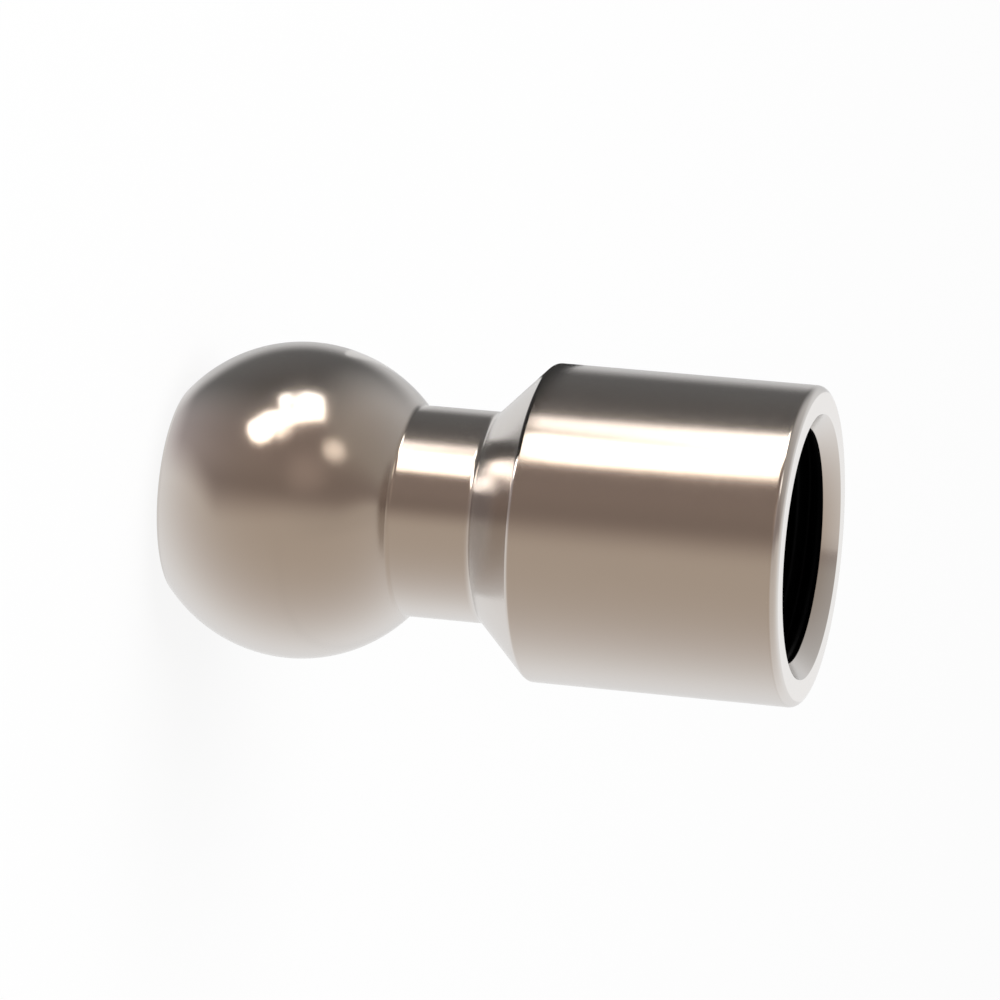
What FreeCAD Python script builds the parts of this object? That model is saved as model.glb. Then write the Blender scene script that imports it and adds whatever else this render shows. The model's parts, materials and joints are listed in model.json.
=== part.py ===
# Threaded ball adapter, turned in one piece from round bar: a ball with a flat tip, a neck, a cone and
# a round socket body with a blind hole for a half-inch parallel pipe thread.
# Millimetres. The origin is the middle of the ball's flat tip, and +Z runs up the axis to the mouth.

import FreeCAD, Part
import math
import os

# Ball
ball_diameter = 25.4
tip_flat_diameter = 16.86
tip_edge_radius = 0.25

# Neck: its length runs between the two corners that the blends round off
neck_diameter = 16.9
neck_length = 6.57
ball_blend_radius = 0.6
cone_blend_radius = 0.9

# Cone and socket body
cone_angle = 45.0
body_diameter = 25.4
body_length = 21.5
shoulder_edge_radius = 0.5
mouth_edge_radius = 0.7

# Threaded hole: the plain wall stands at the thread's crests, and the depths are from the mouth
thread_major_diameter = 20.955
thread_minor_diameter = 18.631
hole_depth = 17.5
drill_point_angle = 118.0
countersink_margin = 0.0225
countersink_angle = 90.0

ball_radius = ball_diameter / 2
neck_radius = neck_diameter / 2
body_radius = body_diameter / 2
hole_radius = thread_minor_diameter / 2
countersink_radius = thread_major_diameter / 2 + countersink_margin

# Heights along the axis, each from the one below it
ball_centre = math.sqrt(ball_radius**2 - (tip_flat_diameter / 2)**2)
neck_foot = ball_centre + math.sqrt(ball_radius**2 - neck_radius**2)
cone_foot = neck_foot + neck_length
shoulder = cone_foot + (body_radius - neck_radius) / math.tan(math.radians(cone_angle))
mouth = shoulder + body_length
hole_end = mouth - hole_depth
drill_point = hole_end - hole_radius / math.tan(math.radians(drill_point_angle / 2))
countersink_end = mouth - (countersink_radius - hole_radius) / math.tan(math.radians(countersink_angle / 2))


def point(radius, height):
    """A point of the section, out from the axis and up it."""
    return FreeCAD.Vector(radius, 0, height)


def toward(start, end, distance):
    """The point at a distance from start on the way to end."""
    step = end - start
    return start + step * (distance / step.Length)


def round_corner(before, corner, after, radius):
    """The start, middle and end of the arc that rounds off a corner between two straight lines."""
    half_angle = (before - corner).getAngle(after - corner) / 2
    start = toward(corner, before, radius / math.tan(half_angle))
    end = toward(corner, after, radius / math.tan(half_angle))
    centre = toward(corner, (start + end) / 2, radius / math.sin(half_angle))
    return start, toward(centre, corner, radius), end


def round_tip_edge():
    """The arc that rounds the edge of the flat tip and runs on into the ball."""
    ball = point(0, ball_centre)
    out = math.sqrt((ball_radius - tip_edge_radius)**2 - (ball_centre - tip_edge_radius)**2)
    centre = point(out, tip_edge_radius)
    start = point(out, 0)
    end = toward(ball, centre, ball_radius)
    middle = toward(centre, (start + end) / 2, tip_edge_radius)
    return start, middle, end


def blend_ball_to_neck():
    """The hollow arc that leaves the ball and turns straight up the neck."""
    ball = point(0, ball_centre)
    out = neck_radius + ball_blend_radius
    centre = point(out, ball_centre + math.sqrt((ball_radius + ball_blend_radius)**2 - out**2))
    start = toward(ball, centre, ball_radius)
    end = point(neck_radius, centre.z)
    middle = toward(centre, (start + end) / 2, ball_blend_radius)
    return start, middle, end


def section():
    """Half of the lengthwise section, closed along the axis."""
    neck_end = point(neck_radius, cone_foot)
    body_start = point(body_radius, shoulder)
    body_end = point(body_radius, mouth)
    countersink_edge = point(countersink_radius, mouth)

    tip_edge = round_tip_edge()
    ball_blend = blend_ball_to_neck()
    cone_blend = round_corner(ball_blend[2], neck_end, body_start, cone_blend_radius)
    shoulder_edge = round_corner(neck_end, body_start, body_end, shoulder_edge_radius)
    mouth_edge = round_corner(body_start, body_end, countersink_edge, mouth_edge_radius)

    equator = point(ball_radius, ball_centre)
    hole = [countersink_edge, point(hole_radius, countersink_end), point(hole_radius, hole_end),
            point(0, drill_point), point(0, 0)]

    edges = [Part.LineSegment(point(0, 0), tip_edge[0]),
             Part.Arc(*tip_edge),
             Part.Arc(tip_edge[2], equator, ball_blend[0]),
             Part.Arc(*ball_blend),
             Part.LineSegment(ball_blend[2], cone_blend[0]),
             Part.Arc(*cone_blend),
             Part.LineSegment(cone_blend[2], shoulder_edge[0]),
             Part.Arc(*shoulder_edge),
             Part.LineSegment(shoulder_edge[2], mouth_edge[0]),
             Part.Arc(*mouth_edge),
             Part.LineSegment(mouth_edge[2], countersink_edge)]
    edges += [Part.LineSegment(start, end) for start, end in zip(hole, hole[1:])]
    return Part.Face(Part.Wire([edge.toShape() for edge in edges]))


def ball_adapter():
    """The whole part: its section turned once about the axis."""
    return section().revolve(point(0, 0), FreeCAD.Vector(0, 0, 1), 360)


os.makedirs("parts", exist_ok=True)
ball_adapter().exportStep("parts/ball_adapter.step")
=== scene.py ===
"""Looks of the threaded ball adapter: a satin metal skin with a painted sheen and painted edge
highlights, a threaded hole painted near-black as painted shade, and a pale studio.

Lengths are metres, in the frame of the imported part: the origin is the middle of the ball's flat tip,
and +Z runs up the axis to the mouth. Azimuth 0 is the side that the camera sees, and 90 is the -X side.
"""

import json
import math

import bpy
import numpy as np
from bpy.props import FloatProperty, FloatVectorProperty, IntProperty, PointerProperty
from mathutils import Matrix, Vector


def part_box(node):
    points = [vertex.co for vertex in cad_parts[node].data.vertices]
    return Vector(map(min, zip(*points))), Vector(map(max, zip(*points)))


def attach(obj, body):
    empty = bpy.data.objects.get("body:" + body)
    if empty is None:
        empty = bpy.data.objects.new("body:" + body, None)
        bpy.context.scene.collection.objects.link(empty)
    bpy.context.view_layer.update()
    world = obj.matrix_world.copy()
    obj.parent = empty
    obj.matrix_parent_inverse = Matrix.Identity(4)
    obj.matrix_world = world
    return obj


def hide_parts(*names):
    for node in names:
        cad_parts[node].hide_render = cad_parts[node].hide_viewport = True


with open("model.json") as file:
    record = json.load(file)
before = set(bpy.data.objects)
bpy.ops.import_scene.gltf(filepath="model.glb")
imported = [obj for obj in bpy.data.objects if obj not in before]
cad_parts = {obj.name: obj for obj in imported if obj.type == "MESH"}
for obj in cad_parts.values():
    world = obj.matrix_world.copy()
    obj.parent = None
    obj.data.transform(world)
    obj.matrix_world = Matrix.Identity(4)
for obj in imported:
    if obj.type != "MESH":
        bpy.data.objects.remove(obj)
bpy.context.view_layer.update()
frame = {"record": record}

bl_info = {
    "name": "Threaded Ball Adapter",
    "version": (1, 0, 0),
    "blender": (4, 5, 0),
    "location": "3D View > Sidebar > Adapter",
    "description": "Builds the turned adapter with its threaded hole, and the studio that it stands in",
    "category": "Object",
}

NODE = "ball_adapter"
BODY = "root"
MM = 0.001

MOUNTS = {mount["name"]: mount for mount in frame["record"]["mounts"]}
THREAD = MOUNTS["socket_thread"]
NODE_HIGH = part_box(NODE)[1]


def length(name, description, default):
    """A length that a user can change."""
    return FloatProperty(name=name, description=description, default=default, min=0.0, precision=5,
                         unit="LENGTH")


def angle(name, description, degrees):
    """An angle that a user can change, with its default in degrees."""
    return FloatProperty(name=name, description=description, default=math.radians(degrees),
                         unit="ROTATION")


def amount(name, description, default, highest=1.0):
    """A plain number that a user can change."""
    return FloatProperty(name=name, description=description, default=default, min=0.0, max=highest)


def colour(name, description, default):
    """A colour that a user can change, in linear light."""
    return FloatVectorProperty(name=name, description=description, default=default, min=0.0, max=1.0,
                               subtype="COLOR")


class AdapterSizes(bpy.types.PropertyGroup):
    """Sizes of the turned skin. Those that the frame holds come from it."""

    body_radius: length("Body radius", "Radius of the socket body", NODE_HIGH.x)
    ball_radius: length("Ball radius", "Radius of the ball", NODE_HIGH.x)
    ball_centre: length("Ball centre", "Height of the ball's centre", MOUNTS["ball"]["pos_m"][2])
    mouth: length("Mouth", "Height of the mouth", MOUNTS["mouth_face"]["pos_m"][2])
    tip_edge: length("Tip edge", "Rounding of the flat tip's edge", 0.25 * MM)
    neck_radius: length("Neck radius", "Radius of the neck", 8.45 * MM)
    neck_length: length("Neck length", "Between the corners that the blends round off", 6.57 * MM)
    ball_blend: length("Ball blend", "Hollow between the ball and the neck", 0.6 * MM)
    cone_blend: length("Cone blend", "Hollow between the neck and the cone", 0.9 * MM)
    cone_angle: angle("Cone angle", "Between the cone's side and the axis", 45.0)
    shoulder_edge: length("Shoulder edge", "Rounding where the cone meets the body", 0.5 * MM)
    mouth_edge: length("Mouth edge", "Rounding of the mouth's outer edge", 0.7 * MM)
    rim_break: length("Rim break", "Rounding of the countersink's two edges", 0.08 * MM)
    segments: IntProperty(name="Segments", description="Facets round the axis", default=192, min=24,
                          max=360)


class HoleSizes(bpy.types.PropertyGroup):
    """Sizes of the threaded hole. Those that the frame holds come from it."""

    crest_radius: length("Crest radius", "Radius at the thread's crests",
                         THREAD["dims"]["r_mm"] * MM)
    root_radius: length("Root radius", "Radius at the thread's roots", 20.955 / 2 * MM)
    pitch: length("Pitch", "Length of one turn, at 14 to the inch", 25.4 / 14 * MM)
    flank_angle: angle("Flank angle", "Between the two flanks of the thread", 55.0)
    middle: length("Middle", "Height of the middle of the plain wall", THREAD["pos_m"][2])
    wall: length("Wall", "Length of the plain wall", THREAD["dims"]["length_mm"] * MM)
    lead_in: amount("Lead-in", "Turns over which the thread grows below the countersink", 0.6, 4.0)
    run_out: amount("Run-out", "Turns over which the thread fades above the drill point", 1.5, 4.0)
    drill_point_angle: angle("Drill point", "Full angle of the drill point", 118.0)
    rows_per_turn: IntProperty(name="Rows per turn", description="Rings of facets in one turn",
                               default=24, min=8, max=48)


class MetalLook(bpy.types.PropertyGroup):
    """Finish of the satin metal skin."""

    base: colour("Metal", "Colour of the metal seen straight on", (0.356, 0.280, 0.218))
    # Painted sheen and painted highlight: the metal's colour is pushed towards this white at a slant and
    # on its worn edges
    sheen_and_highlight_white: colour("Glancing colour", "Colour of the metal seen at a slant", (1.0, 1.0, 1.0))
    # Painted sheen: how much of that white comes in at a slant, and the slant at which all of it is in
    sheen_share: amount("Glancing share", "How far the slanting colour comes in", 0.55)
    sheen_reach: amount("Glancing reach", "Slant at which all of that share is in", 0.8)
    rim_tone: amount("Rim tone", "Tone of the metal at its outline, as the shader's tint there", 0.85)
    roughness: amount("Roughness", "Spread of the metal's gloss", 0.153)
    mark_pitch: length("Tool mark pitch", "Spacing of the turning marks", 0.12 * MM)
    mark_depth: length("Tool mark depth", "Depth of the turning marks", 0.0012 * MM)


class HolePaintedShade(bpy.types.PropertyGroup):
    """Finish of the hole, whose near-black colour is painted shade."""

    # Painted shade: the wall is painted near-black in place of the shade deep in the hole
    base: colour("Blackening", "Colour of the blackened wall", (0.004, 0.004, 0.0042))
    roughness: amount("Roughness", "Spread of the wall's gloss", 0.5)


class StudioLook(bpy.types.PropertyGroup):
    """Floor, lights and the panels that the metal mirrors."""

    floor_radius: length("Floor radius", "Radius of the round floor", 3.0)
    floor_colour: colour("Floor colour", "Colour of the floor", (0.9, 0.9, 0.9))
    shadow_share: amount("Shadow share", "How much of the floor's tone is lit by the lamps", 0.12)
    sky_fill: amount("Sky fill", "Strength of the sky's soft light", 0.5, 4.0)
    lamp_power: FloatProperty(name="Lamp power", description="Power of the overhead lamp",
                              default=7.0, min=0.0, unit="POWER")
    front_tone: amount("Front tone", "Tone of the dark tent at the front", 0.47)
    back_tone: amount("Back tone", "Tone of the dark tent at the back", 0.15)
    behind_share: amount("Behind share", "How far the tent pales towards its back edge", 0.7)
    tent_tint: colour("Tent tint", "Colour of the dark tent at the front", (1.0, 0.92, 0.93))
    high_tone: amount("High tone", "Tone of the dark tent overhead", 0.65)
    panel_light: amount("Panel light", "Strength of the glowing panels", 8.0, 40.0)
    side_light: amount("Side light", "Strength of the weaker strip beside them", 3.3, 20.0)


class Signal:
    """A socket of a shader tree, on which a sum or a product adds a Math node."""

    def __init__(self, board, socket):
        self.board = board
        self.socket = socket

    def __add__(self, other):
        return self.board.maths("ADD", self, other)

    def __radd__(self, other):
        return self.board.maths("ADD", other, self)

    def __sub__(self, other):
        return self.board.maths("SUBTRACT", self, other)

    def __rsub__(self, other):
        return self.board.maths("SUBTRACT", other, self)

    def __mul__(self, other):
        return self.board.maths("MULTIPLY", self, other)

    def __rmul__(self, other):
        return self.board.maths("MULTIPLY", other, self)

    def __truediv__(self, other):
        return self.board.maths("DIVIDE", self, other)

    def __rtruediv__(self, other):
        return self.board.maths("DIVIDE", other, self)

    def __pow__(self, other):
        return self.board.maths("POWER", self, other)


class Board:
    """An empty shader tree, of a material or of the world, and what is put on it."""

    def __init__(self, owner):
        owner.use_nodes = True
        self.tree = owner.node_tree
        self.tree.nodes.clear()

    def add(self, kind, settings=None, values=None, output=0):
        """Adds a node: its settings first, then its sockets' values or links. Gives one output."""
        node = self.tree.nodes.new(kind)
        for name, setting in (settings or {}).items():
            setattr(node, name, setting)
        for name, value in (values or {}).items():
            if isinstance(value, Signal):
                self.tree.links.new(value.socket, node.inputs[name])
            else:
                node.inputs[name].default_value = value
        return Signal(self, node.outputs[output]) if node.outputs else None

    def maths(self, operation, first, second=0.0):
        """A Math node on two values."""
        return self.add("ShaderNodeMath", {"operation": operation}, {0: first, 1: second})

    def smooth(self, value, start, end, low, high):
        """A value that goes smoothly from low at start to high at end."""
        return self.add("ShaderNodeMapRange", {"interpolation_type": "SMOOTHSTEP"},
                        {"Value": value, "From Min": start, "From Max": end, "To Min": low,
                         "To Max": high})

    def mix_colours(self, share, first, second):
        """The first colour with a share of the second in it."""
        return self.add("ShaderNodeMix", {"data_type": "RGBA"},
                        {"Factor": share, 6: first, 7: second}, output=2)

    def noise(self, vector, scale, detail=2.0, w=None):
        """A cloudy value from 0 to 1, in four dimensions where w is given."""
        settings = {"noise_dimensions": "3D" if w is None else "4D"}
        values = {"Vector": vector, "Scale": scale, "Detail": detail}
        if w is not None:
            values["W"] = w
        return self.add("ShaderNodeTexNoise", settings, values)

    def axes(self, output="Object"):
        """The three coordinates of a point of the surface."""
        place = self.add("ShaderNodeTexCoord", output=output)
        return [self.add("ShaderNodeSeparateXYZ", None, {0: place}, output=axis)
                for axis in ("X", "Y", "Z")]

    def unlit_ray(self):
        """1 for what the camera, metal and glass see, and 0 for the light that falls on things."""
        camera = self.add("ShaderNodeLightPath", output="Is Camera Ray")
        glossy = self.add("ShaderNodeLightPath", output="Is Glossy Ray")
        transmission = self.add("ShaderNodeLightPath", output="Is Transmission Ray")
        return self.maths("MAXIMUM", self.maths("MAXIMUM", camera, glossy), transmission)


def shown(point):
    """A colour with its alpha, as a colour socket takes it."""
    return (*point, 1.0)


def run(start, end, hold=0.03 * MM):
    """A straight run with a holding ring just inside each end, so that its shading stays even."""
    step = (end - start).normalized() * hold
    return [start, start + step, end - step, end]


def arc(centre, radius, start, end, steps):
    """Points of an arc from one angle to another, in degrees from straight out."""
    angles = np.radians(np.linspace(start, end, steps + 1))
    return [centre + Vector((math.cos(a), math.sin(a))) * radius for a in angles]


def round_corner(before, corner, after, radius, steps=8):
    """Points of the arc that rounds off a corner between two straight runs."""
    back = (before - corner).normalized()
    on = (after - corner).normalized()
    half_angle = back.angle(on) / 2
    centre = corner + (back + on).normalized() * radius / math.sin(half_angle)
    first = corner + back * radius / math.tan(half_angle) - centre
    last = corner + on * radius / math.tan(half_angle) - centre
    start = math.degrees(math.atan2(first.y, first.x))
    turn = math.degrees(math.atan2(last.y, last.x)) - start
    turn = (turn + 180.0) % 360.0 - 180.0
    return arc(centre, radius, start, start + turn, steps)


def bearing(start, end):
    """The direction from one point of the outline to another, in degrees from straight out."""
    step = end - start
    return math.degrees(math.atan2(step.y, step.x))


def tip_and_ball(sizes):
    """Outline from the flat tip round the ball and through the hollow at the neck's foot."""
    ball = Vector((0.0, sizes.ball_centre))
    tip_reach = math.sqrt((sizes.ball_radius - sizes.tip_edge)**2
                          - (sizes.ball_centre - sizes.tip_edge)**2)
    tip = Vector((tip_reach, sizes.tip_edge))
    out = sizes.neck_radius + sizes.ball_blend
    hollow = Vector((out, sizes.ball_centre + math.sqrt((sizes.ball_radius + sizes.ball_blend)**2
                                                        - out**2)))
    ball_start = bearing(ball, tip)
    ball_end = bearing(ball, hollow)
    points = run(Vector((1.0 * MM, 0.0)), Vector((tip_reach, 0.0)))
    points += arc(tip, sizes.tip_edge, -90.0, ball_start, 6)
    points += arc(ball, sizes.ball_radius, ball_start, ball_end, 64)
    points += arc(hollow, sizes.ball_blend, ball_end + 180.0, 180.0, 10)
    return points


def corner_heights(sizes):
    """Heights of the neck's foot, the cone's foot and the shoulder, each from the one before."""
    neck_foot = sizes.ball_centre + math.sqrt(sizes.ball_radius**2 - sizes.neck_radius**2)
    cone_foot = neck_foot + sizes.neck_length
    rise = (sizes.body_radius - sizes.neck_radius) / math.tan(sizes.cone_angle)
    return neck_foot, cone_foot, cone_foot + rise


def neck_to_wall(sizes, hole):
    """Outline up the neck, the cone and the body, over the mouth and down to the hole's wall."""
    neck_foot, cone_foot, shoulder_height = corner_heights(sizes)
    wall_top = hole.middle + hole.wall / 2
    foot = Vector((sizes.neck_radius, neck_foot))
    neck_end = Vector((sizes.neck_radius, cone_foot))
    shoulder = Vector((sizes.body_radius, shoulder_height))
    mouth = Vector((sizes.body_radius, sizes.mouth))
    rim = Vector((hole.crest_radius + sizes.mouth - wall_top, sizes.mouth))
    wall = Vector((hole.crest_radius, wall_top))
    deep = Vector((hole.crest_radius, hole.middle))
    corners = [round_corner(foot, neck_end, shoulder, sizes.cone_blend),
               round_corner(neck_end, shoulder, mouth, sizes.shoulder_edge),
               round_corner(shoulder, mouth, rim, sizes.mouth_edge, 10),
               round_corner(mouth, rim, wall, sizes.rim_break, 4),
               round_corner(rim, wall, deep, sizes.rim_break, 4)]
    points = []
    for corner, following in zip(corners, corners[1:]):
        points += corner + run(corner[-1], following[0])
    return points + corners[-1]


def without_repeats(points):
    """The points with each one that repeats the one before it left out."""
    kept = points[:1]
    for point in points[1:]:
        if (point - kept[-1]).length > 0.001 * MM:
            kept.append(point)
    return kept


def thread_depth(turns, hole):
    """Depth of the thread's groove below its crests, at a number of turns along it."""
    half = hole.flank_angle / 2
    sharp = hole.pitch / math.tan(half) / 2
    depth = hole.root_radius - hole.crest_radius
    rounding = (sharp - depth) / 2 / (1 / math.sin(half) - 1)
    along = np.abs((turns + 0.5) % 1.0 - 0.5) * hole.pitch
    reach = rounding * math.cos(half)
    flank = depth / 2 + (hole.pitch / 4 - along) / math.tan(half)
    near_root = depth - rounding + np.sqrt(np.maximum(rounding**2 - along**2, 0.0))
    from_crest = hole.pitch / 2 - along
    near_crest = rounding - np.sqrt(np.maximum(rounding**2 - from_crest**2, 0.0))
    return np.where(along < reach, near_root, np.where(from_crest < reach, near_crest, flank))


def thread_rows(hole, top, turn_angles):
    """Rings down the threaded wall, each a height and its radius at every angle."""
    bottom = hole.middle - hole.wall / 2
    count = round((top - bottom) / hole.pitch * hole.rows_per_turn)
    rows = []
    for height in np.linspace(top, bottom, count + 1)[1:]:
        down = (top - height) / hole.pitch
        up = (height - bottom) / hole.pitch
        growth = min(down / hole.lead_in, up / hole.run_out, 1.0)
        growth = growth * growth * (3.0 - 2.0 * growth)
        turns = down + turn_angles / math.tau
        rows.append((height, hole.crest_radius + growth * thread_depth(turns, hole)))
    return rows


# Corners of the skin sharper than this stay crisp
SHARP_ANGLE = math.radians(40.0)

# How much of each rounded edge is worn and painted with a highlight, as a share of its radius
MOUTH_WEAR_AND_HIGHLIGHT = 0.8
SHOULDER_WEAR_AND_HIGHLIGHT = 0.2


def edge_wear_and_highlight(points, sizes):
    """1 on the rounded outer edges, which handling has rubbed glossier and which carry a painted
    highlight, and 0 elsewhere.
    """
    shoulder = corner_heights(sizes)[2]
    mouth_start = sizes.mouth - sizes.mouth_edge * MOUTH_WEAR_AND_HIGHLIGHT
    half_width = sizes.shoulder_edge * SHOULDER_WEAR_AND_HIGHLIGHT
    return [float(point.y > mouth_start or abs(point.y - shoulder) < half_width) for point in points]


def turned_mesh(name, rows, poles, first_dark_row):
    """A closed mesh of rings round the axis. Faces past a given ring take the second material."""
    segments = len(rows[0][1])
    around = np.arange(segments) * math.tau / segments
    points = [np.array([[0.0, 0.0, poles[0]]])]
    for height, radius in rows:
        ring = np.stack([radius * np.cos(around), radius * np.sin(around),
                         np.full(segments, height)], axis=1)
        points.append(ring)
    points.append(np.array([[0.0, 0.0, poles[1]]]))
    points = np.concatenate(points)
    last = len(points) - 1
    here = np.arange(segments)
    following = (here + 1) % segments
    faces = [(0, 1 + b, 1 + a) for a, b in zip(here.tolist(), following.tolist())]
    for row in range(len(rows) - 1):
        low = 1 + row * segments
        high = low + segments
        faces += np.stack([low + here, low + following, high + following, high + here],
                          axis=1).tolist()
    end = 1 + (len(rows) - 1) * segments
    faces += [(last, end + a, end + b) for a, b in zip(here.tolist(), following.tolist())]
    mesh = bpy.data.meshes.new(name)
    mesh.from_pydata(points.tolist(), [], faces)
    dark_from = segments * (1 + first_dark_row)
    mesh.polygons.foreach_set("material_index", [int(i >= dark_from) for i in range(len(faces))])
    mesh.polygons.foreach_set("use_smooth", [True] * len(faces))
    mesh.set_sharp_from_angle(angle=SHARP_ANGLE)
    mesh.update()
    return mesh


# Scales of the cloudy unevenness, per metre, and how far the marks drift round the axis
METAL_CLOUDS = 130.0
HOLE_CLOUDS = 900.0
MARK_DRIFT = 0.3 * MM

# How much clouds, marks and wear change the satin metal; the worn edges' colour share is a painted
# highlight
CLOUD_TONE = 0.94
CLOUD_SHARE = 0.5
WORN_EDGE_HIGHLIGHT_SHARE = 0.15
CLOUD_GLOSS = 0.05
MARK_GLOSS = 0.04
WEAR_GLOSS = 0.04

# The same for the hole
HOLE_CLOUD_TONE = 0.6
HOLE_CLOUD_GLOSS = 0.2


def satin_metal(look):
    """Warm grey metal with a satin gloss, faint turning marks, glossier worn edges with a painted
    highlight, and a painted sheen that pales the colour at a slant.
    """
    material = bpy.data.materials.new("satin_metal")
    board = Board(material)
    x, y, z = board.axes()
    radius = board.maths("SQRT", x * x + y * y)
    frequency = 1.0 / look.mark_pitch
    marks_at = board.add("ShaderNodeCombineXYZ", None,
                         {"X": radius, "Y": z, "Z": x / radius * MARK_DRIFT})
    marks = board.noise(marks_at, frequency, detail=3.0, w=y / radius * MARK_DRIFT * frequency)
    place = board.add("ShaderNodeTexCoord", output="Object")
    clouds = board.noise(place, METAL_CLOUDS, detail=3.0)
    wear = board.add("ShaderNodeAttribute", {"attribute_name": "wear"}, output="Fac")
    facing = board.add("ShaderNodeLayerWeight", None, {"Blend": 0.5}, output="Facing")
    # Painted sheen: the share of white in the colour grows where the surface is seen at a slant
    painted_sheen = board.smooth(facing, 0.0, look.sheen_reach, 0.0, look.sheen_share)
    clouded = shown([c * CLOUD_TONE for c in look.base])
    tone = board.mix_colours(clouds * CLOUD_SHARE, shown(look.base), clouded)
    # Painted highlight: the worn edges' colour is pushed towards white
    tone = board.mix_colours(wear * WORN_EDGE_HIGHLIGHT_SHARE, tone, shown(look.sheen_and_highlight_white))
    # Painted sheen: the colour pales towards white at a slant, standing in for reflection
    tone = board.mix_colours(painted_sheen, tone, shown(look.sheen_and_highlight_white))
    rough = look.roughness + (clouds - 0.5) * CLOUD_GLOSS + (marks - 0.5) * MARK_GLOSS
    rough = rough - wear * WEAR_GLOSS
    bump = board.add("ShaderNodeBump", None,
                     {"Strength": 1.0, "Distance": look.mark_depth, "Height": marks})
    surface = board.add("ShaderNodeBsdfPrincipled", None,
                        {"Base Color": tone, "Metallic": 1.0, "Roughness": rough, "Normal": bump,
                         "Specular Tint": shown([look.rim_tone] * 3)})
    board.add("ShaderNodeOutputMaterial", None, {"Surface": surface})
    return material


def blackened_hole(look):
    """Painted shade on the hole's wall: a near-black colour, a little uneven."""
    material = bpy.data.materials.new("blackened_hole")
    board = Board(material)
    place = board.add("ShaderNodeTexCoord", output="Object")
    clouds = board.noise(place, HOLE_CLOUDS, detail=3.0)
    clouded = shown([c * HOLE_CLOUD_TONE for c in look.base])
    # Painted shade: the near-black colour stands in for the shade deep in the hole
    tone = board.mix_colours(clouds, shown(look.base), clouded)
    rough = look.roughness + (clouds - 0.5) * HOLE_CLOUD_GLOSS
    surface = board.add("ShaderNodeBsdfPrincipled", None,
                        {"Base Color": tone, "Metallic": 1.0, "Roughness": rough})
    board.add("ShaderNodeOutputMaterial", None, {"Surface": surface})
    return material


class ADAPTER_OT_turned_body(bpy.types.Operator):
    """Build the turned skin with its threaded hole in place of the plain CAD node"""

    bl_idname = "adapter.turned_body"
    bl_label = "Turned Body"
    bl_options = {"REGISTER", "UNDO"}

    def execute(self, context):
        scene = context.scene
        sizes = scene.adapter_sizes
        hole = scene.adapter_hole
        around = np.arange(sizes.segments) * math.tau / sizes.segments
        outline = without_repeats(tip_and_ball(sizes) + neck_to_wall(sizes, hole))
        rows = [(point.y, np.full(sizes.segments, point.x)) for point in outline]
        rows += thread_rows(hole, outline[-1].y, around)
        hole_end = hole.middle - hole.wall / 2
        drop = hole.crest_radius / math.tan(hole.drill_point_angle / 2)
        drill_cone = run(Vector((hole.crest_radius, hole_end)), Vector((0.0, hole_end - drop)))
        rows += [(point.y, np.full(sizes.segments, point.x)) for point in drill_cone[1:3]]
        mesh = turned_mesh("adapter_body", rows, (0.0, hole_end - drop), len(outline) - 3)
        wear = edge_wear_and_highlight(outline, sizes)
        wear_and_highlight_of_rows = wear + [0.0] * (len(rows) - len(outline))
        # The worn edges get lower roughness and a painted highlight in the metal's colour
        values = [0.0] + [w for w in wear_and_highlight_of_rows for _ in range(sizes.segments)] + [0.0]
        mesh.attributes.new("wear", "FLOAT", "POINT").data.foreach_set("value", values)
        piece = bpy.data.objects.new("adapter_body", mesh)
        scene.collection.objects.link(piece)
        mesh.materials.append(satin_metal(scene.adapter_metal))
        # The second material paints the hole near-black as painted shade
        mesh.materials.append(blackened_hole(scene.adapter_black))
        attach(piece, BODY)
        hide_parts(NODE)
        return {"FINISHED"}


def toward(azimuth, elevation=0.0):
    """The direction at an azimuth and an elevation, in degrees."""
    a = math.radians(azimuth)
    e = math.radians(elevation)
    return Vector((-math.sin(a) * math.cos(e), -math.cos(a) * math.cos(e), math.sin(e)))


def patch(name, rows, material):
    """A stage surface through rows of points, seen only in what the metal mirrors."""
    columns = len(rows[0])
    points = [tuple(point) for row in rows for point in row]
    faces = []
    for row in range(len(rows) - 1):
        for column in range(columns - 1):
            corner = row * columns + column
            faces.append((corner, corner + 1, corner + columns + 1, corner + columns))
    mesh = bpy.data.meshes.new(name)
    mesh.from_pydata(points, [], faces)
    mesh.materials.append(material)
    piece = bpy.data.objects.new(name, mesh)
    bpy.context.scene.collection.objects.link(piece)
    piece.visible_camera = False
    piece.visible_diffuse = False
    piece.visible_shadow = False
    piece.visible_volume_scatter = False
    return piece


def glow(name, strength, tint=(1.0, 1.0, 1.0)):
    """Light of an even strength, for a panel that the metal mirrors."""
    material = bpy.data.materials.new(name)
    board = Board(material)
    light = board.add("ShaderNodeEmission", None, {"Color": shown(tint), "Strength": strength})
    board.add("ShaderNodeOutputMaterial", None, {"Surface": light})
    material.cycles.emission_sampling = "NONE"
    return material


def one_sided_glow(name, strength):
    """Light of an even strength on a card's upper side. Its under side can't be seen."""
    material = bpy.data.materials.new(name)
    board = Board(material)
    under = board.add("ShaderNodeNewGeometry", output="Backfacing")
    light = board.add("ShaderNodeEmission", None, {"Strength": strength})
    clear = board.add("ShaderNodeBsdfTransparent")
    surface = board.add("ShaderNodeMixShader", None, {0: under, 1: light, 2: clear})
    board.add("ShaderNodeOutputMaterial", None, {"Surface": surface})
    material.cycles.emission_sampling = "NONE"
    return material


# The tent's size, the azimuths that it spans and the radii of its mat's rings
TENT_RADIUS = 0.45
TENT_SPAN = (-28.0, 183.0)
MAT_RINGS = (0.1, 0.03, 0.0)
MAT_HEIGHT = 0.3 * MM

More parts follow.
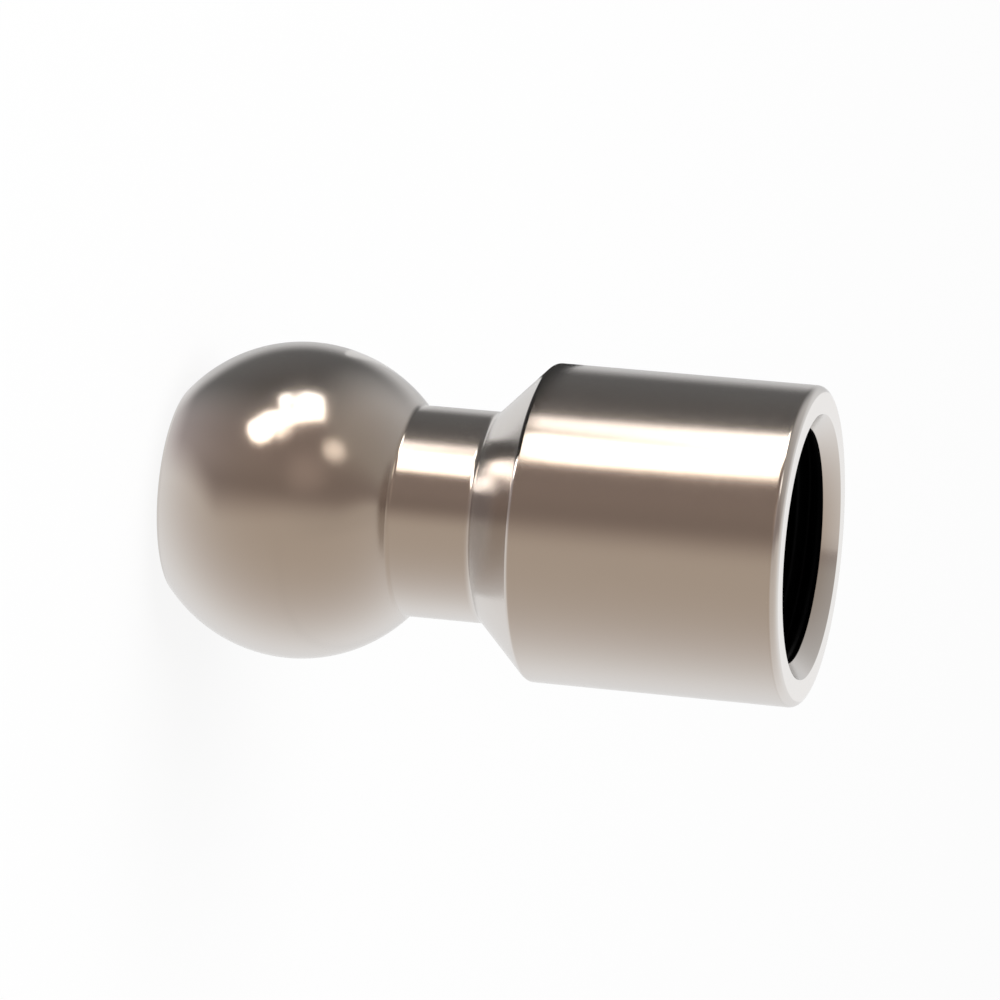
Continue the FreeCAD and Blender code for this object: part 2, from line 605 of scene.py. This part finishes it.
# Azimuths over which the cloth darkens, turns to its back tone and pales again, and its foot's reach
TENT_FRONT = (-18.0, 8.0)
TENT_TURN = (60.0, 100.0)
TENT_BACK = (136.0, 160.0)
TENT_END = (165.0, 178.0)
TENT_FOOT = (7.5 * MM, 10.5 * MM)

# How those edges bend near the object and lean overhead: from, to, and the value before and after
FRONT_BEND = (9 * MM, 18 * MM, -22.0, 0.0)
FRONT_LEAN = (40.0, 75.0, 0.0, -14.0)
TURN_BEND = (12 * MM, 90 * MM, 28.0, 0.0)
TURN_LEAN = (8.0, 35.0, 0.0, 42.0)
CLIMB_LEAN = (90.0, 140.0, 0.0, 2.0)

# The white of the cloth, which fades a little overhead, in the same form
PALE_FADE = (0.0, 40.0, 1.0, 0.93)

# The back edge bends round the object as this over the reach past BACK_START
BACK_BEND = 0.72
BACK_START = 1.6 * MM

# Heights over which the side grows paler, and the paler spot in front: azimuth, height and its edge
SIDE_CLIMB = (-4.0, 34.0)
SPOT_PLACE = (21.0, 17.0)
SPOT_EDGE = (4.0, 22.0)
SPOT_GAIN = 0.22


def tent_cloth(look):
    """Cloth of the tent: white at its two sides, darker behind than in front, paler overhead."""
    material = bpy.data.materials.new("tent_cloth")
    board = Board(material)
    x, y, z = board.axes()
    azimuth = board.maths("ARCTAN2", 0.0 - x, 0.0 - y) * math.degrees(1.0)
    reach = board.maths("SQRT", x * x + y * y)
    height = board.maths("ARCTAN2", z, reach) * math.degrees(1.0)
    front = azimuth + board.smooth(reach, *FRONT_BEND) + board.smooth(height, *FRONT_LEAN)
    turn = azimuth + board.smooth(reach, *TURN_BEND) + board.smooth(height, *TURN_LEAN)
    back = azimuth + BACK_BEND / (reach - BACK_START)
    climb = height - board.smooth(azimuth, *CLIMB_LEAN)
    in_front = board.smooth(front, *TENT_FRONT, 0.0, 1.0) * board.smooth(reach, *TENT_FOOT, 0.0, 1.0)
    turned = board.smooth(turn, *TENT_TURN, 0.0, 1.0)
    behind = board.smooth(back, *TENT_BACK, 0.0, look.behind_share)
    behind = behind + board.smooth(azimuth, *TENT_END, 0.0, 1.0 - look.behind_share)
    side_tone = board.smooth(climb, *SIDE_CLIMB, look.back_tone, look.high_tone)
    from_spot = board.maths("SQRT", (azimuth - SPOT_PLACE[0]) ** 2 + (height - SPOT_PLACE[1]) ** 2)
    front_tone = board.smooth(from_spot, *SPOT_EDGE, look.front_tone + SPOT_GAIN, look.front_tone)
    dark = front_tone + turned * (side_tone - front_tone)
    pale = board.smooth(height, *PALE_FADE)
    tone = pale - in_front * (1.0 - behind) * (pale - dark)
    unlit = board.add("ShaderNodeEmission", None, {"Strength": 0.0})
    white = board.add("ShaderNodeEmission", None, {"Strength": 1.0})
    tinted = board.add("ShaderNodeEmission", None, {"Color": shown(look.tent_tint), "Strength": 1.0})
    light = board.add("ShaderNodeMixShader", None, {0: in_front * (1.0 - turned), 1: white, 2: tinted})
    surface = board.add("ShaderNodeMixShader", None, {0: tone, 1: unlit, 2: light})
    board.add("ShaderNodeOutputMaterial", None, {"Surface": surface})
    material.cycles.emission_sampling = "NONE"
    return material


def dark_tent(look):
    """The dark half of the studio: a mat on the floor and a dome over it, on the -X side."""
    lift = Vector((0.0, 0.0, MAT_HEIGHT))
    azimuths = np.linspace(*TENT_SPAN, 74)
    elevations = np.linspace(90.0, 0.0, 24)
    rows = [[toward(a, e) * TENT_RADIUS + lift for a in azimuths] for e in elevations]
    rows += [[toward(a) * radius + lift for a in azimuths] for radius in MAT_RINGS]
    patch("dark_tent", rows, tent_cloth(look))


# Heights and distances at which the panels stand, and the steps along each
PANEL_HEIGHT = MAT_HEIGHT * 3
SKY_PANEL_RADIUS = TENT_RADIUS * 0.95
ROUND_PANEL_RADIUS = TENT_RADIUS * 0.9
PANEL_STEPS = 9
CARD_STEPS = 13


def floor_panel(name, rows, strength, height=PANEL_HEIGHT):
    """A glowing panel that lies on the mat. Each row is a radius in mm and its two azimuths."""
    lift = Vector((0.0, 0.0, height))
    points = [[toward(a) * radius * MM + lift for a in np.linspace(first, last, PANEL_STEPS)]
              for radius, first, last in rows]
    patch(name, points, glow(name, strength))


def card(name, rows, strength):
    """A raised card round the object. Each row is a radius and a height in mm and its two azimuths."""
    points = [[toward(a) * radius * MM + Vector((0.0, 0.0, height * MM))
               for a in np.linspace(first, last, CARD_STEPS)] for radius, height, first, last in rows]
    patch(name, points, one_sided_glow(name, strength))


def sky_panel(name, corners, strength):
    """A glowing panel that stands before the tent. Its four corners are azimuths and elevations."""
    low, low_end, high, high_end = [Vector(corner) for corner in corners]
    rows = []
    for up in np.linspace(0.0, 1.0, 6):
        start = low.lerp(high, up)
        end = low_end.lerp(high_end, up)
        rows.append([toward(*start.lerp(end, on)) * SKY_PANEL_RADIUS
                     for on in np.linspace(0.0, 1.0, PANEL_STEPS)])
    patch(name, rows, glow(name, strength))


def round_panel(name, azimuth, elevation, half_angle, strength):
    """A round glowing panel before the tent, of a half angle as the object sees it."""
    facing = toward(azimuth, elevation)
    radius = ROUND_PANEL_RADIUS * math.tan(math.radians(half_angle))
    turn = facing.to_track_quat("Z", "Y")
    rows = [[facing * ROUND_PANEL_RADIUS + turn @ Vector((math.cos(a) * r, math.sin(a) * r, 0.0))
             for a in np.linspace(0.0, math.tau, 33)] for r in (0.0, radius)]
    patch(name, rows, glow(name, strength))


# The floor's grain, per metre, and its tone, then the overhead lamp's width and place
FLOOR_GRAIN = 400.0
FLOOR_GRAIN_TONE = 0.985
LAMP_SIZE = 0.8
LAMP_PLACE = (-0.35, -0.2, 0.9)


def floor_material(look):
    """A pale floor that metal mirrors as plain white, and that keeps the object's shadow."""
    material = bpy.data.materials.new("pale_floor")
    board = Board(material)
    place = board.add("ShaderNodeTexCoord", output="Object")
    grain = board.noise(place, FLOOR_GRAIN)
    grained = shown([c * FLOOR_GRAIN_TONE for c in look.floor_colour])
    tone = board.mix_colours(grain, shown(look.floor_colour), grained)
    lit = board.add("ShaderNodeBsdfDiffuse", None, {"Color": tone})
    plain = board.add("ShaderNodeEmission", None, {"Strength": 1.0})
    share = board.unlit_ray() * (1.0 - look.shadow_share)
    surface = board.add("ShaderNodeMixShader", None, {0: share, 1: lit, 2: plain})
    board.add("ShaderNodeOutputMaterial", None, {"Surface": surface})
    material.cycles.emission_sampling = "NONE"
    return material


def white_sky(look):
    """White for the camera and the metal, and a soft fill for what it lights."""
    world = bpy.data.worlds.new("white_sky")
    board = Board(world)
    white = shown((1.0, 1.0, 1.0))
    fill = board.add("ShaderNodeBackground", None, {"Color": white, "Strength": look.sky_fill})
    plain = board.add("ShaderNodeBackground", None, {"Color": white, "Strength": 1.0})
    surface = board.add("ShaderNodeMixShader", None, {0: board.unlit_ray(), 1: fill, 2: plain})
    board.add("ShaderNodeOutputWorld", None, {"Surface": surface})
    world.cycles.sampling_method = "NONE"
    return world


def overhead_lamp(look):
    """A wide soft lamp above the object, for the shadow on the floor."""
    lamp = bpy.data.lights.new("overhead_lamp", "AREA")
    lamp.shape = "DISK"
    lamp.size = LAMP_SIZE
    lamp.energy = look.lamp_power
    holder = bpy.data.objects.new("overhead_lamp", lamp)
    holder.location = LAMP_PLACE
    holder.rotation_euler = (-holder.location).to_track_quat("-Z", "Y").to_euler()
    holder.visible_glossy = False
    holder.visible_camera = False
    bpy.context.scene.collection.objects.link(holder)


# Panels on the mat, as rows of a radius in mm and two azimuths
PALE_MAT = ((1, -165, -27), (60, -165, -27), (150, -165, -27))
ROUND_LAMP = ((24.3, 37.2, 41.6), (27.5, 33.0, 45.0), (34, 32.2, 51.8), (45, 36.0, 55.6),
              (56, 41.0, 57.0), (66, 47.0, 57.8), (77, 53.0, 57.5))
STRIP_NEAR = ((48, 65.0, 69.2), (60, 60.2, 71.6), (73, 57, 73), (78, 56, 74))
STRIP_MAIN = ((78, 40.2, 62.2), (150, 42.6, 62.0), (262, 46.2, 60.3))
STRIP_DIM = ((78, 69.2, 77.0), (108, 68.6, 77.0))
STRIP_SIDE = ((108, 68.0, 77.0), (150, 66.2, 77.4), (262, 62.7, 80.3))
STRIP_FAR = ((262, 57, 80.6), (428, 57.5, 81.6))

# The dim strip's strength, as a share of the side strip's
STRIP_DIM_SHARE = 0.5

# Panels high before the tent, as the azimuth and elevation of their four corners
STRIP_UPPER = ((55.8, 0), (82.2, 0), (65.2, 17.0), (82.6, 9.2))
BACK_PANEL = ((171, 4), (189, 4), (171, 28), (189, 28))
BACK_PANEL_LIGHT = 1.15

# A round panel, as its azimuth, elevation and half angle
DIM_LAMP = (44.2, 31.5, 7.3)
DIM_LAMP_LIGHT = 2.3

# Raised cards, as rows of a radius and a height in mm and two azimuths
PALE_CARD = ((13, 12, 97, 110), (14.2, 12, 95, 119), (16, 12, 99, 126), (19, 12, 108, 135),
             (25, 12, 120, 146), (31, 12, 130, 156), (40, 9.5, 138, 160), (50, 7, 143, 162))
PALE_CARD_TONE = 0.95
DARK_CARD = ((13.2, 26, 25, 150), (27.8, 26, 36, 150))
DARK_CARD_TONE = 0.05

# The low card on edge
CURB_RADIUS = 0.106
CURB_HEIGHT = 5.5 * MM
CURB_AZIMUTHS = (34.0, 51.5)


def low_curb(look):
    """A low grey card on edge, which hides part of the strips from the ball but not from the body."""
    rows = [[toward(a) * CURB_RADIUS + Vector((0.0, 0.0, height))
             for a in np.linspace(*CURB_AZIMUTHS, PANEL_STEPS)] for height in (PANEL_HEIGHT, CURB_HEIGHT)]
    patch("low_curb", rows, glow("low_curb", look.front_tone, look.tent_tint))


# The photograph's camera: where the ball's centre falls, its radius and the focal length, in pixels
PHOTO_WIDTH = 1000
BALL_ACROSS = 302.296
BALL_DOWN = 500.099
BALL_RADIUS_PX = 158.519
FOCAL_PX = 6143.567
LOOKING_DOWN = math.radians(14.377)
AXIS_SLOPE = math.radians(5.224)


def photo_camera(sizes):
    """The camera of the photograph, rolled so that the upright axis runs across the picture."""
    camera = bpy.data.cameras.new("photo_camera")
    camera.sensor_width = 36.0
    camera.lens = camera.sensor_width * FOCAL_PX / PHOTO_WIDTH
    camera.clip_start = 0.01
    camera.clip_end = 20.0
    down = LOOKING_DOWN
    forward = Vector((0.0, math.cos(down), -math.sin(down)))
    axis_across = Vector((0.0, math.sin(down), math.cos(down)))
    side = Vector((-1.0, 0.0, 0.0))
    right = axis_across * math.cos(AXIS_SLOPE) + side * math.sin(AXIS_SLOPE)
    up = side * math.cos(AXIS_SLOPE) - axis_across * math.sin(AXIS_SLOPE)
    scale = sizes.ball_radius / BALL_RADIUS_PX
    middle = PHOTO_WIDTH / 2
    ball_in_view = (right * (BALL_ACROSS - middle) - up * (BALL_DOWN - middle)
                    + forward * FOCAL_PX) * scale
    place = Vector((0.0, 0.0, sizes.ball_centre)) - ball_in_view
    holder = bpy.data.objects.new("photo_camera", camera)
    turn = Matrix((right, up, -forward)).transposed().to_4x4()
    holder.matrix_world = Matrix.Translation(place) @ turn
    bpy.context.scene.collection.objects.link(holder)
    bpy.context.scene.camera = holder


class ADAPTER_OT_studio(bpy.types.Operator):
    """Build the floor, the lights, the mirrored panels and the camera"""

    bl_idname = "adapter.studio"
    bl_label = "Studio"
    bl_options = {"REGISTER", "UNDO"}

    def execute(self, context):
        scene = context.scene
        look = scene.adapter_studio
        bpy.ops.mesh.primitive_circle_add(vertices=128, radius=look.floor_radius, fill_type="NGON")
        floor = context.object
        floor.name = "pale_floor"
        floor.data.materials.append(floor_material(look))
        scene.world = white_sky(look)
        overhead_lamp(look)
        dark_tent(look)
        floor_panel("pale_mat", PALE_MAT, 1.0, MAT_HEIGHT)
        bright = look.panel_light
        floor_panel("round_lamp", ROUND_LAMP, bright)
        floor_panel("strip_near", STRIP_NEAR, bright)
        floor_panel("strip_main", STRIP_MAIN, bright)
        floor_panel("strip_dim", STRIP_DIM, look.side_light * STRIP_DIM_SHARE)
        floor_panel("strip_side", STRIP_SIDE, look.side_light)
        low_curb(look)
        card("pale_card", PALE_CARD, PALE_CARD_TONE)
        card("dark_card", DARK_CARD, DARK_CARD_TONE)
        floor_panel("strip_far", STRIP_FAR, bright)
        sky_panel("strip_upper", STRIP_UPPER, bright)
        sky_panel("back_panel", BACK_PANEL, BACK_PANEL_LIGHT)
        round_panel("dim_lamp", *DIM_LAMP, DIM_LAMP_LIGHT)
        photo_camera(scene.adapter_sizes)
        scene.view_settings.view_transform = "Standard"
        return {"FINISHED"}


class ADAPTER_PT_sidebar(bpy.types.Panel):
    """Sizes and finishes of the adapter, with the buttons that build it"""

    bl_idname = "ADAPTER_PT_sidebar"
    bl_label = "Threaded Ball Adapter"
    bl_space_type = "VIEW_3D"
    bl_region_type = "UI"
    bl_category = "Adapter"

    def draw(self, context):
        layout = self.layout
        for name, group in GROUPS.items():
            box = layout.box()
            for field in group.__annotations__:
                box.prop(getattr(context.scene, name), field)
        for operator in OPERATORS:
            layout.operator(operator.bl_idname)


GROUPS = {
    "adapter_sizes": AdapterSizes,
    "adapter_hole": HoleSizes,
    "adapter_metal": MetalLook,
    "adapter_black": HolePaintedShade,
    "adapter_studio": StudioLook,
}
OPERATORS = (ADAPTER_OT_turned_body, ADAPTER_OT_studio)


def register():
    for group in GROUPS.values():
        bpy.utils.register_class(group)
    for operator in OPERATORS:
        bpy.utils.register_class(operator)
    bpy.utils.register_class(ADAPTER_PT_sidebar)
    for name, group in GROUPS.items():
        setattr(bpy.types.Scene, name, PointerProperty(type=group))


def unregister():
    for name in GROUPS:
        delattr(bpy.types.Scene, name)
    bpy.utils.unregister_class(ADAPTER_PT_sidebar)
    for operator in reversed(OPERATORS):
        bpy.utils.unregister_class(operator)
    for group in reversed(GROUPS.values()):
        bpy.utils.unregister_class(group)


def main():
    register()
    bpy.ops.adapter.turned_body()
    bpy.ops.adapter.studio()


if __name__ == "__main__":
    main()
